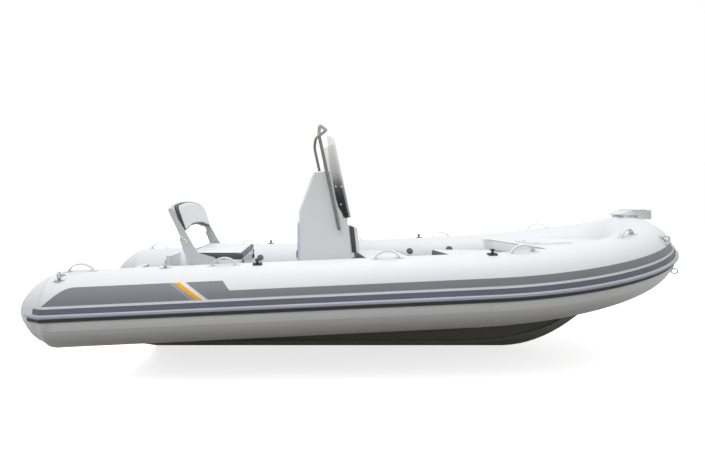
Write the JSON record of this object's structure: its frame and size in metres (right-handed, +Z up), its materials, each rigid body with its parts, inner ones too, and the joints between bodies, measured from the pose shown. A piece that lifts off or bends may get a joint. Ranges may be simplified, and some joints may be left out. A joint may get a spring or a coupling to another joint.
{
  "type": "rigid inflatable boat",
  "caption": "Open rigid inflatable boat: metal vee hull, white inflated collar with dark rubbing strake, centre console with smoked screen and rail, padded helm bench, front and bow seats.",
  "frame": {"origin": "on the waterline plane, on the centreline, amidships (half way between the tubes' stern tips and the bow)", "axes": "+X to the bow, +Y to port, +Z up"},
  "size_m": [4.864, 2.2294, 1.8464],
  "materials": {
    "tube_fabric": "satin coated fabric",
    "tube_dark": "satin",
    "bead_grey": "satin",
    "black_rubber": "matt",
    "panel_grey": "satin",
    "stripe_grey": "satin",
    "stripe_yellow": "satin",
    "hull_paint": "satin paint",
    "deck_grey": "non-slip paint",
    "moulding": "gloss gelcoat",
    "cushion_white": "marine vinyl, white top and dark grey sides",
    "dark_plastic": "matt",
    "grip_white": "satin",
    "valve_grey": "matt",
    "stainless": "polished",
    "smoked_acrylic": "smoked clear",
    "door_white": "gloss"
  },
  "bodies": {
    "boat": {"tube_starboard": "tube_fabric", "tube_port": "tube_fabric", "tube_bow": "tube_fabric", "strake_band": "tube_dark", "strake_bead": "bead_grey", "strake_lower": "black_rubber", "side_panel_starboard": "panel_grey", "side_panel_port": "panel_grey", "stripes_grey": "stripe_grey", "stripes_yellow": "stripe_yellow", "hull_shell": "hull_paint", "cockpit_deck": "deck_grey", "bow_deck": "moulding", "transom": "moulding", "motor_pad": "black_rubber", "helm_seat_box": "moulding", "backrest_pivots": "moulding", "console": "moulding", "windscreen": "smoked_acrylic", "handrail": "stainless", "console_backrest_board": "moulding", "console_backrest_cushion": "cushion_white", "front_seat_box": "moulding", "bow_seat_box": "moulding", "bow_plate": "moulding", "bow_plate_pad": "black_rubber", "seat_latches": "black_rubber", "grab_handles": "grip_white", "cleats": "dark_plastic", "valves": "valve_grey", "lifting_rings": "stainless"},
    "helm_lid": {"helm_seat_lid": "moulding", "helm_seat_cushion": "cushion_white"},
    "backrest": {"backrest_frame": "moulding", "backrest_cushion": "cushion_white", "backrest_rear_pad": "cushion_white"},
    "door": {"console_door": "door_white"},
    "front_lid": {"front_seat_lid": "moulding", "front_seat_cushion": "cushion_white"},
    "bow_lid": {"bow_seat_lid": "moulding", "bow_seat_cushion": "cushion_white"},
    "hatch": {"anchor_hatch": "moulding"}
  },
  "joints": [
    {"name": "helm_lid_hinge", "type": "hinge", "parent": "boat", "child": "helm_lid", "pos_m": [-1.442, 0, 0.561], "axis": [0, -1, 0], "range_deg": [0, 55]},
    {"name": "backrest_flip", "type": "hinge", "parent": "boat", "child": "backrest", "pos_m": [-1.225, 0, 0.538], "axis": [0, -1, 0], "range_deg": [-84, 0]},
    {"name": "console_door_hinge", "type": "hinge", "parent": "boat", "child": "door", "pos_m": [-0.585, 0.168, 0.52], "axis": [0, 0, -1], "range_deg": [0, 100]},
    {"name": "front_lid_hinge", "type": "hinge", "parent": "boat", "child": "front_lid", "pos_m": [0.332, 0, 0.506], "axis": [0, 1, 0], "range_deg": [0, 80]},
    {"name": "bow_lid_hinge", "type": "hinge", "parent": "boat", "child": "bow_lid", "pos_m": [0.662, 0, 0.498], "axis": [0, -1, 0], "range_deg": [0, 75]},
    {"name": "anchor_hatch_hinge", "type": "hinge", "parent": "boat", "child": "hatch", "pos_m": [1.64151, 0, 0.67764], "axis": [0, 1, 0], "range_deg": [0, 95]}
  ]
}
